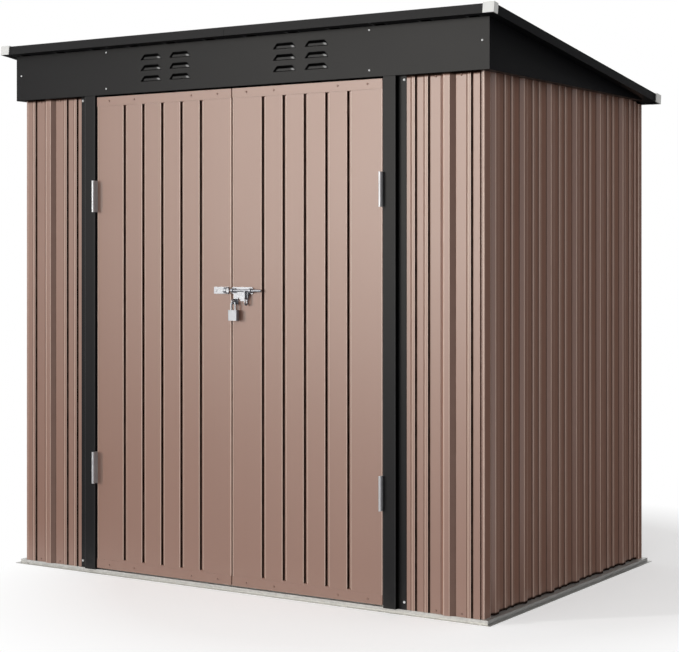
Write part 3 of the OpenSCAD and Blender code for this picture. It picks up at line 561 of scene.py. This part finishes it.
wallSet = {"postLap": 0.010, "postSide": 0.040, "rearSide": 0.027, "postRear": 0.021, "postIn": 0.001,
           "postSet": 0.005, "flange": 0.028, "frontStart": 0.053, "sideStart": 0.103, "trimGap": 0.0015}
ribHigh = ribSet["wide"][2]
thick = sheetSet["thick"]
frontBox, sideBox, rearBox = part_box("front_wall_right"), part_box("side_wall_right"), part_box("rear_wall")
headBox, baseBox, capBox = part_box("header_panel"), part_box("base_rail_right"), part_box("roof_corner_caps")
shelf, wallTop = frontBox[0][2], frontBox[1][2]
crestFront = frontBox[0][1]
flatFront = crestFront + ribHigh
frontEnd = frontBox[1][0]
postY = flatFront + wallSet["postSet"]
crestSide, crestRear = sideBox[1][0], rearBox[1][1]
flatSide, flatRear = crestSide - ribHigh, crestRear - ribHigh
roofPitch = math.radians(7.6)


# underside of the roof edge along the depth: it falls evenly from the header to the rear
def roofEdge(y):
    under = headBox[1][2] - (y - (headBox[0][1] + thick)) * math.tan(roofPitch)
    return np.minimum(wallTop, under - wallSet["trimGap"] / math.cos(roofPitch))


# places of sheets: along, outwards and height turned into x, y, z on the front, a side and the rear
def facingFront(side, flat):
    return lambda u, v, z: np.stack([side * u, flat - v, z], -1)


def facingSide(side, flat):
    return lambda u, v, z: np.stack([side * (flat + v), u, z], -1)


def facingRear(side, flat):
    return lambda u, v, z: np.stack([side * u, flat + v, z], -1)


frontPath = ribbedPath(frontBox[0][0], frontEnd, frontBox[0][0] + wallSet["frontStart"] - ribSet["gap"],
                       frontBox[0][0] + wallSet["flange"], frontEnd)
frontPath = np.concatenate([frontPath, [[frontEnd, -wallSet["postSet"]]]])
sidePath = ribbedPath(sideBox[0][1], flatRear, baseBox[0][1] + wallSet["sideStart"],
                      postY + wallSet["postSide"], crestRear - wallSet["rearSide"])
rearPath = ribbedPath(rearBox[0][0], rearBox[1][0], 0.0, wallSet["postRear"] - crestSide,
                      crestSide - wallSet["postRear"])
cornerX = crestSide - wallSet["postIn"]
frontPostPath = [[frontEnd - wallSet["postLap"], -postY], [cornerX, -postY],
                 [cornerX, -postY - wallSet["postSide"]], [flatSide, -postY - wallSet["postSide"]]]
rearPostPath = [[flatSide, crestRear - wallSet["rearSide"]], [crestSide, crestRear - wallSet["rearSide"]],
                [crestSide, crestRear], [crestSide - wallSet["postRear"], crestRear],
                [crestSide - wallSet["postRear"], flatRear]]

for side, word in ((-1, "Left"), (1, "Right")):
    low = word.lower()
    # front walls: painted shade on their slopes that face right, and just below the header
    sheet = bentSheet(frontPath, shelf, wallTop, facingFront(side, flatFront), shading=slopeShade(side),
                      under=headBox[0][2])
    wall = makePiece("frontWall" + word, [sheet], "shed", *brown)
    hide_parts("front_wall_" + low)
    # side walls: painted shade along their foot
    sheet = bentSheet(sidePath, shelf, roofEdge, facingSide(side, flatSide), foot=True)
    wall = makePiece("sideWall" + word, [sheet], "shed", *brown)
    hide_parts("side_wall_" + low)
    sheet = bentSheet(frontPostPath, shelf, headBox[0][2], facingFront(side, 0.0))
    post = makePiece("frontPost" + word, [sheet], "shed", *brown)
    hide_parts("corner_post_front_" + low)
    sheet = bentSheet(rearPostPath[::-1], shelf, rearBox[1][2], facingRear(side, 0.0))
    post = makePiece("rearPost" + word, [sheet], "shed", *brown)
    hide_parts("corner_post_rear_" + low)
wall = makePiece("rearWall", [bentSheet(rearPath, shelf, rearBox[1][2], facingRear(1, flatRear))], "shed", *brown)
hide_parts("rear_wall")
print("shed: ribbed walls and corner posts")

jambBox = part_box("door_post_right")
# the post's edges get hardly any painted highlight, and the last two lengths place the painted shade on its side
jambSet = {"width": 0.044, "wornAndLit": 0.1, "near": 0.0008, "edge": 0.0015}
jambIn, jambOut, jambFace, flangeFace = jambBox[0][0], jambBox[1][0], jambBox[0][1], flatFront - thick
jambPath = [[jambIn, -(flatFront + thick)], [jambIn, -jambFace], [jambIn + jambSet["width"], -jambFace],
            [jambIn + jambSet["width"], -flangeFace], [jambOut, -flangeFace]]


# painted shade on the side of the post that turns back to its flange, hardly any painted highlight on its edges
def jambShade(p, bend):
    onSide = np.abs(p[:, 0] - jambIn - jambSet["width"]) < jambSet["near"]
    behindEdge = p[:, 1] < -jambFace - jambSet["edge"]
    return np.where(onSide & behindEdge, -1.0, np.minimum(bend, jambSet["wornAndLit"]))


for side, word in ((-1, "Left"), (1, "Right")):
    sheet = bentSheet(jambPath, shelf, headBox[0][2], facingFront(side, 0.0), shading=jambShade)
    post = makePiece("doorPost" + word, [sheet], "shed", *dark)
    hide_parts("door_post_" + word.lower())
print("shed: door posts")

roofSet = {"capHigh": 0.031, "flat": -0.0298, "edge": 0.0042, "ribs": 4, "ribPitch": 0.159,
           "rib": (0.022, 0.011, 0.014)}      # half foot, half crest, height
roofY = capBox[0][1] + roofSet["capHigh"] * math.sin(roofPitch)
roofZ = capBox[1][2]
roofLong = (capBox[1][1] - roofY) / math.cos(roofPitch)
roofHalf = capBox[1][0] - roofSet["edge"]
roofWide = 2 * roofHalf / 3      # of each of the three sheets


# point of the roof's own frame: x across, v off the sheet, w down the slope
def onRoof(u, v, w):
    up = v + roofSet["flat"]
    return np.stack([u, roofY + w * math.cos(roofPitch) + up * math.sin(roofPitch),
                     roofZ - w * math.sin(roofPitch) + up * math.cos(roofPitch)], -1)


for index, word in ((-1, "Left"), (0, "Middle"), (1, "Right")):
    ribs = trapezoids(index * roofWide + inRow(roofSet["ribs"]) * roofSet["ribPitch"], *roofSet["rib"])
    path = np.concatenate([[[(index - 0.5) * roofWide, 0.0]], ribs, [[(index + 0.5) * roofWide, 0.0]]]) + [0.0, thick]
    sheet = makePiece("roofSheet" + word, [bentSheet(path, roofSet["edge"], roofLong - roofSet["edge"], onRoof)],
                      "shed", *dark)
    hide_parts("roof_sheet_" + word.lower())
print("shed: roof sheets")

# the shadow width and fade width place a painted shadow on each groove's floor
doorSet = {"grooves": 5, "groovePitch": 0.0786, "grooveWide": 0.014, "grooveDeep": 0.0054, "slant": 0.0008,
           "gapLow": 0.0045, "gapHigh": 0.0005, "endRun": 0.002, "endSteps": 6, "plainEdge": 0.02,
           "shadowWide": 0.0066, "fadeWide": 0.0010, "inside": 0.3}


# door skin: the rounded section of the leaf with its grooves, each groove fading out at its two ends
def doorSkin(side, box, railTop, railLow, s):
    inX, outX, skinY, backY = box[0][0], box[1][0], box[0][1], box[1][1]
    half = s["grooveWide"] / 2
    c = (inX + outX) / 2 + inRow(s["grooves"]) * s["groovePitch"]
    grooves = trapezoids(c, half, half - s["slant"], -s["grooveDeep"], -skinY)
    path = np.concatenate([[[inX, -backY], [inX, -skinY]], grooves, [[outX, -skinY], [outX, -backY]]])
    outer, bend = roundPath(path)
    # two more points on each groove's floor, where its painted shadow ends
    edge = side * (s["shadowWide"] - half)
    split = np.stack([c + edge - s["fadeWide"] / 2, c + edge + s["fadeWide"] / 2], 1).reshape(-1)
    place = np.searchsorted(outer[:, 0], split)
    outer = np.insert(outer, place, np.stack([split, 0 * split - skinY - s["grooveDeep"]], 1), axis=0)
    bend = np.insert(bend, place, 0.0)
    inner = innerPath(outer, thick)
    low, high = railTop + s["gapLow"], railLow - s["gapHigh"]
    ramp = np.linspace(0, s["endRun"], s["endSteps"])
    z = np.concatenate([[box[0][2]], low + ramp, (high - ramp)[::-1], [box[1][2]]])
    show = ease(np.minimum(z - low, high - z), 0.0, s["endRun"])
    inGroove = (outer[:, 0] > inX + s["plainEdge"]) & (outer[:, 0] < outX - s["plainEdge"])
    sides = []
    for p, level in ((outer, -skinY), (inner, -skinY - thick)):
        flat = np.where(inGroove, level, p[:, 1])
        out = flat[:, None] + (p[:, 1] - flat)[:, None] * show[None, :]
        x = np.repeat(p[:, :1], len(z), 1)
        sides.append(np.stack([side * x, -out, np.broadcast_to(z, x.shape)], -1))
    deep = np.clip((-skinY - outer[:, 1]) / s["grooveDeep"], 0, 1) * inGroove
    # the groove's left flank and the floor beside it get a painted shadow; off is the distance from the nearest groove
    away = outer[:, :1] - c[None, :]
    off = away[np.arange(len(outer)), np.abs(away).argmin(1)]
    shadowed = side * off < side * edge
    bend = np.where(deep > 0.5, np.where(shadowed, -1.0, 0.0), bend)
    ring, quads, edges = closeSheet(sides[0], sides[1], bend)
    faded = np.where(np.concatenate([inGroove, inGroove[::-1]])[:, None], show[None, :], 1.0)
    faded = faded * np.repeat([1.0, s["inside"]], len(outer))[:, None]
    return ring, quads, edges * faded.reshape(-1)


doorBox, topBox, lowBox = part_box("right_door_sheet"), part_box("right_door_top_rail"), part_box("right_door_bottom_rail")
for side, word in ((-1, "left"), (1, "right")):
    leaf = doorSkin(side, doorBox, lowBox[1][2], topBox[0][2], doorSet)
    skin = makePiece(word + "DoorSkin", [leaf], word + "_door", *brown)
    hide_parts(word + "_door_sheet")
print("shed: door skins")

headerSet = {
    "columns": (0.204, 0.322), "rows": (0.047, 0.082, 0.117),      # from the middle, above the underside
    "halfFoot": 0.042, "halfTop": 0.028, "height": 0.016, "deep": 0.0065, "ramp": 0.0045, "barShare": 0.45,
    "slot": 0.003, "slotShort": 0.001, "slotGap": 1e-5,
    # the slope, top and end values place painted shade on each louvre, the spot and bar values its painted highlight
    "slope": (0.40, 0.55), "topFade": 0.88, "endShade": 0.6, "endFull": 0.7, "endFade": 0.2,
    "spot": 3.2, "spotIn": 0.0125, "spotWide": 0.0045, "spotUp": 0.2, "spotHigh": 0.25, "bar": 0.08,
    "louvreLines": (45, 17), "sheetLines": (61, 9), "clear": 0.002, "digits": 6,      # grid lines in x and in z
}


# height inside a louvre, 0 at its slot and 1 at its top, half its width there, and which points lie at its height
def louvrePlace(z, cz, s):
    up = (z - (cz - s["height"] / 2)) / s["height"]
    return up, s["halfFoot"] + (s["halfTop"] - s["halfFoot"]) * up, (up >= -tiny) & (up <= 1.0)


# depth of the pressed louvres at (x, z): each falls in softly from its top and ends and is deepest at its slot
def louvreDepth(x, z, centres, s):
    depth = np.zeros(x.shape)
    for cx, cz in centres:
        up, half, inside = louvrePlace(z, cz, s)
        ends = 1 - ease(np.abs(x - cx), half - s["ramp"], half)
        top = 1 - ease(up, s["barShare"], 1.0)
        depth = np.maximum(depth, np.where(inside, s["deep"] * ends * top, 0.0))
    return depth


# painted shade on the louvres' upper slope and at both ends, a painted highlight near the right end of the lower bar
def louvreShade(x, z, centres, s):
    shading = np.zeros(x.shape)
    for cx, cz in centres:
        up, half, inside = louvrePlace(z, cz, s)
        away = np.abs(x - cx)
        ends = s["endShade"] * ease(away, half - s["ramp"], half - s["endFull"] * s["ramp"])
        paintedShade = np.maximum(ease(up, *s["slope"]), ends)
        along, above = (x - cx - half + s["spotIn"]) / s["spotWide"], (up - s["spotUp"]) / s["spotHigh"]
        wornAndLit = s["spot"] * np.exp(-along ** 2 - above ** 2) + s["bar"]
        fade = (1 - ease(up, s["topFade"], 1.0)) * (1 - ease(away, half - s["endFade"] * s["ramp"], half))
        shading = np.where(inside & (away <= half), (wornAndLit * (1 - paintedShade) - paintedShade) * fade, shading)
    return shading


# sheet with openings: front and back grids without the open cells, joined along every rim
def cutSheet(outer, inner, openCell, bend):
    rows, cols = outer.shape[:2]
    cells = gridQuads(rows, cols)[~openCell.reshape(-1)]
    count = rows * cols
    padded = np.pad(openCell, 1, constant_values=True)
    alongRows = np.argwhere(padded[1:-1, :-1] != padded[1:-1, 1:])       # edge from (i, j) to (i + 1, j)
    alongCols = np.argwhere(padded[:-1, 1:-1] != padded[1:, 1:-1])       # edge from (i, j) to (i, j + 1)
    rowStart, colStart = alongRows @ [cols, 1], alongCols @ [cols, 1]
    a = np.concatenate([rowStart, colStart])
    b = np.concatenate([rowStart + cols, colStart + 1])
    rim = np.stack([a, b, b + count, a + count], 1)
    points = np.concatenate([outer.reshape(-1, 3), inner.reshape(-1, 3)])
    quads = np.concatenate([cells, cells[:, ::-1] + count, rim])
    return points, quads, np.concatenate([bend.reshape(-1), np.zeros(count)])


def headerParts(s):
    halfWidth, face, low, high = headBox[1][0], headBox[0][1], headBox[0][2], headBox[1][2]
    half, edge = s["height"] / 2, s["halfFoot"] + s["clear"]
    columns = [side * column for side in (-1, 1) for column in s["columns"]]
    centres = [(cx, low + row) for cx in columns for row in s["rows"]]
    # x lines are close together inside the louvre columns, z lines inside the rows
    xs = [np.linspace(-halfWidth, halfWidth, s["sheetLines"][0])]
    xs += [np.linspace(cx - edge, cx + edge, s["louvreLines"][0]) for cx in columns]
    zs = [np.linspace(low, high, s["sheetLines"][1])]
    for row in s["rows"]:
        foot = low + row - half
        zs += [np.linspace(foot, low + row + half, s["louvreLines"][1]), [foot - s["slot"], foot - s["slotGap"]]]
    x, z = (np.unique(np.round(np.concatenate(lines), s["digits"])) for lines in (xs, zs))
    gx, gz = np.meshgrid(x, z, indexing="ij")
    outer = np.stack([gx, face + louvreDepth(gx, gz, centres, s), gz], -1)
    mx, mz = (gx[:-1, :-1] + gx[1:, 1:]) / 2, (gz[:-1, :-1] + gz[1:, 1:]) / 2
    openCell = np.zeros(mx.shape, bool)
    for cx, cz in centres:          # the slot below each louvre is left open
        foot = cz - half
        openCell |= (np.abs(mx - cx) < s["halfFoot"] - s["slotShort"]) & (mz < foot) & (mz > foot - s["slot"])
    # lower return, a flat strip carried along x
    section = np.array([[face, low], [crestFront, low], [crestFront, low + thick], [face, low + thick]])
    ends = np.array([-halfWidth, halfWidth])[:, None]
    strip = np.stack([np.repeat(ends, 4, 1), np.tile(section[:, 0], (2, 1)), np.tile(section[:, 1], (2, 1))], -1)
    caps = np.array([[0, 1, 2, 3], [7, 6, 5, 4]])
    return [cutSheet(outer, outer + np.array([0, thick, 0]), openCell, louvreShade(gx, gz, centres, s)),
            (strip, np.concatenate([gridQuads(2, 4, closeCols=True), caps]), None)]


header = makePiece("louvredHeader", headerParts(headerSet), "shed", *dark, sharp=28.0)
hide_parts("header_panel")
print("shed: louvred header,", len(header.data.polygons), "faces")

screwSet = {
    "around": 16, "recess": 0.35, "crossWide": 0.16, "crossReach": 0.6,
    "rho": (0.0, 1.0, 1.0, 0.93, 0.78, 0.5, 0.22, 0.0),         # profile in shares of the radius
    "up": (-0.25, -0.25, 0.3, 0.62, 0.86, 0.98, 1.0, 1.0),      # and of the height
}


# pan head turned about its axis: washer edge, rounded side, low dome with a cross pressed into it
def screwHead(centre, normal, radius, height, s=screwSet):
    turn = np.linspace(0, 2 * np.pi, s["around"], endpoint=False)
    a, r = np.meshgrid(turn, s["rho"], indexing="ij")
    h = np.tile(s["up"], (s["around"], 1))
    off = np.minimum(np.abs(np.cos(a) * r), np.abs(np.sin(a) * r))
    cross = np.exp(-(off / s["crossWide"]) ** 2) * (r < s["crossReach"]) * (h > 0)
    h = h - s["recess"] * cross
    n = np.asarray(normal, float)
    across = np.cross(n, [0.0, 0.0, 1.0])
    other = np.cross(n, across)
    ring = np.cos(a)[..., None] * across + np.sin(a)[..., None] * other
    p = np.asarray(centre, float) + radius * r[..., None] * ring + height * h[..., None] * n
    return p, gridQuads(s["around"], len(s["rho"]), closeRows=True), None


front = (0.0, -1.0, 0.0)
headLow, headFace = headBox[0][2], headBox[0][1]
shedScrews = {
    "headerScrews": {"radius": 0.0032, "height": 0.0022, "look": (screwZinc, "hinge_steel"), "face": headFace,
                     "at": [(x, headLow + z) for x, z in ((0.890, 0.085), (0.511, 0.141), (0.511, 0.021))]},
    "postScrews": {"radius": 0.0040, "height": 0.0026, "look": (screwZinc, "hinge_steel"), "face": flangeFace,
                   "at": [(0.624, 1.575), (0.624, 0.035)]},
    "wallScrews": {"radius": 0.0034, "height": 0.0022, "look": brown, "face": flatFront,
                   "at": [(x, z) for x in (0.729, 0.814) for z in (1.579, 0.022)]},
}
for name, s in shedScrews.items():
    heads = [screwHead((side * x, s["face"], z), front, s["radius"], s["height"])
             for side in (-1, 1) for x, z in s["at"]]
    makePiece(name, heads, "shed", *s["look"], merge=tiny)

doorScrewSet = {"radius": 0.0034, "height": 0.0020, "fromSeam": (0.056, 0.161, 0.396, 0.502), "inset": 0.0135}
for side, body in ((-1, "left_door"), (1, "right_door")):
    s = doorScrewSet
    heads = [screwHead((side * x, topBox[0][1], z), front, s["radius"], s["height"]) for x in s["fromSeam"]
             for z in (topBox[1][2] - s["inset"], lowBox[0][2] + s["inset"])]
    makePiece(body + "Screws", heads, body, *brown, merge=tiny)
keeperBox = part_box("bolt_keeper")
keeperSet = {"radius": 0.0036, "height": 0.0022, "fromEnd": 0.010, "plate": 0.0016}
keeperAt = (keeperBox[0][0] + keeperSet["fromEnd"], keeperBox[1][1] - keeperSet["plate"],
            (keeperBox[0][2] + keeperBox[1][2]) / 2)
heads = [screwHead(keeperAt, front, keeperSet["radius"], keeperSet["height"])]
makePiece("keeperScrew", heads, "left_door", screwZinc, "bolt_steel", merge=tiny)
print("shed: screws set")

white = (1, 1, 1, 1)
stageSet = {"half": 60.0, "floorWhite": srgb(250, 250, 250), "floorBounce": (0.55, 0.55, 0.55, 1), "lift": 0.255,
            "fadeAbout": (0.36, 0.1, 0.0), "fadeShape": (1.0, 0.8, 1.0), "fadeFrom": 0.96, "fadeTo": 1.4,
            "worldMiddle": 0.62, "worldLean": 0.3, "worldSide": 0.23}


# one flat quad of the stage, with an empty material
def stageQuad(name, corners):
    mesh = bpy.data.meshes.new(name)
    mesh.from_pydata(corners, [], [(0, 1, 2, 3)])
    mat, tree = emptyMaterial(name)
    mesh.materials.append(mat)
    return linkObject(name, mesh), tree


# 1 for the rays that see a thing straight, mirrored or through something, 0 for its light on others
def seenRays(tree):
    path = addNode(tree, "ShaderNodeLightPath").outputs
    return calc(tree, "MAXIMUM", calc(tree, "MAXIMUM", path["Is Camera Ray"], path["Is Glossy Ray"]),
                path["Is Transmission Ray"])


# pale floor: it keeps the shed's shadow close by and turns to plain white further out
def stageFloor(s):
    h = s["half"]
    obj, tree = stageQuad("studioFloor", [(-h, -h, 0), (h, -h, 0), (h, h, 0), (-h, h, 0)])
    at = addNode(tree, "ShaderNodeTexCoord").outputs["Object"]
    oval = addNode(tree, "ShaderNodeVectorMath", {0: at, 1: s["fadeShape"]}, operation="MULTIPLY").outputs[0]
    far = addNode(tree, "ShaderNodeVectorMath", {0: oval, 1: s["fadeAbout"]}, operation="DISTANCE").outputs["Value"]
    fade = remap(tree, far, s["fadeFrom"], s["fadeTo"], 0.0, 1.0)
    pale = addNode(tree, "ShaderNodeBsdfDiffuse", {"Color": s["floorWhite"]})
    lift = addNode(tree, "ShaderNodeEmission", {"Color": white, "Strength": s["lift"]})
    near = addNode(tree, "ShaderNodeAddShader", {0: pale.outputs[0], 1: lift.outputs[0]})
    glow = addNode(tree, "ShaderNodeEmission", {"Color": white, "Strength": 1.0})
    shown = addNode(tree, "ShaderNodeMixShader", {0: fade, 1: near.outputs[0], 2: glow.outputs[0]})
    bounce = addNode(tree, "ShaderNodeBsdfDiffuse", {"Color": s["floorBounce"]})
    both = addNode(tree, "ShaderNodeMixShader", {0: seenRays(tree), 1: bounce.outputs[0], 2: shown.outputs[0]})
    addNode(tree, "ShaderNodeOutputMaterial", {"Surface": both.outputs[0]})


# soft room light: stronger from the front and the right than from behind and the left; white where it is seen
def stageWorld(s):
    world = bpy.data.worlds.new("studioWorld")
    bpy.context.scene.world = world
    world.use_nodes = True
    tree = world.node_tree
    tree.nodes.clear()
    way = addNode(tree, "ShaderNodeTexCoord").outputs["Generated"]
    part = addNode(tree, "ShaderNodeSeparateXYZ", {"Vector": way}).outputs
    room = calc(tree, "MULTIPLY_ADD", part["Y"], -s["worldLean"], s["worldMiddle"])
    room = calc(tree, "MULTIPLY_ADD", part["X"], s["worldSide"], room)
    seen = seenRays(tree)
    strength = calc(tree, "ADD", calc(tree, "MULTIPLY", calc(tree, "SUBTRACT", 1.0, seen), room), seen)
    back = addNode(tree, "ShaderNodeBackground", {"Color": white, "Strength": strength})
    addNode(tree, "ShaderNodeOutputWorld", {"Surface": back.outputs[0]})


keySet = {"from": (-1.0, -1.0, 0.14), "strength": 2.1, "spread": 2.0}      # spread in degrees
glossSet = {        # soft boxes that only the gloss sees
    "frontBox": {"place": (-2.6, -8.6, 2.45), "aim": (0.2, -0.6, 1.2), "size": (6.8, 4.4), "power": 465.0,
                 "tint": (1.0, 0.96, 0.88)},
    "leftStrip": {"place": (-8.5, -2.2, 2.0), "aim": (0.0, -0.6, 1.0), "size": (2.4, 4.0), "power": 110.0,
                  "tint": (1.0, 1.0, 1.0)},
    "rightStrip": {"place": (8.5, -3.2, 2.0), "aim": (0.9, 0.0, 1.0), "size": (3.0, 4.0), "power": 25.0,
                   "tint": (1.0, 1.0, 1.0)},
}


# key: a far small light from the front left, low; boxes: wide soft lights that the gloss of the surfaces sees
def stageLamps(key, boxes):
    data = bpy.data.lights.new("keyLamp", "SUN")
    data.energy = key["strength"]
    data.angle = math.radians(key["spread"])
    obj = linkObject("keyLamp", data)
    obj.rotation_euler = (-Vector(key["from"])).to_track_quat("-Z", "Y").to_euler()
    obj.visible_glossy = False
    for name, s in boxes.items():
        data = bpy.data.lights.new(name, "AREA")
        data.shape = "RECTANGLE"
        data.size, data.size_y = s["size"]
        data.energy = s["power"]
        data.color = s["tint"]
        obj = linkObject(name, data)
        obj.location = s["place"]
        obj.rotation_euler = (Vector(s["aim"]) - Vector(s["place"])).to_track_quat("-Z", "Y").to_euler()
        obj.visible_camera = obj.visible_diffuse = False


# corners of a board that stands on the ground from a to b, and of one that lies just above the floor
def standing(a, b, high):
    return [(*a, 0), (*b, 0), (*b, high), (*a, high)]


def lying(left, near, right, far, lift=0.0008):
    return [(left, near, lift), (right, near, lift), (right, far, lift), (left, far, lift)]


boardSet = {        # each board and how bright it shows in a reflection
    "boardRight": {"shade": 0.03, "corners": standing((9, 3), (9, 40), 14)},
    "boardSide": {"shade": 0.22, "corners": standing((9.6, -6), (9.6, 3), 14)},
    "boardBeside": {"shade": 0.03, "corners": lying(0.93, -0.6, 9, 0.66)},
    "boardBehind": {"shade": 0.03, "corners": lying(-16, 0.66, 9, 40)},
    "boardCamera": {"shade": 0.05, "corners": standing((1.4, -10), (11, -6), 9)},
    "boardLeft": {"shade": 0.15, "corners": standing((-7.2, -9.5), (-10, -4.5), 5)},
    "boardFront": {"shade": 0.15, "corners": lying(-8, -8, -1.2, -0.8)},
    "boardMiddle": {"shade": 0.6, "corners": lying(-1.2, -8, 2, -0.8)},
}


# boards round the shed that only reflections see, so the gloss keeps its depth
def stageBoards(boards):
    for name, s in boards.items():
        obj, tree = stageQuad(name, s["corners"])
        glow = addNode(tree, "ShaderNodeEmission", {"Color": white, "Strength": s["shade"]})
        addNode(tree, "ShaderNodeOutputMaterial", {"Surface": glow.outputs[0]})
        obj.visible_camera = obj.visible_diffuse = obj.visible_shadow = obj.visible_transmission = False


stageFloor(stageSet)
stageWorld(stageSet)
stageLamps(keySet, glossSet)
stageBoards(boardSet)
print("shed: floor, room light, lamps and boards")

bpy.context.view_layer.update()
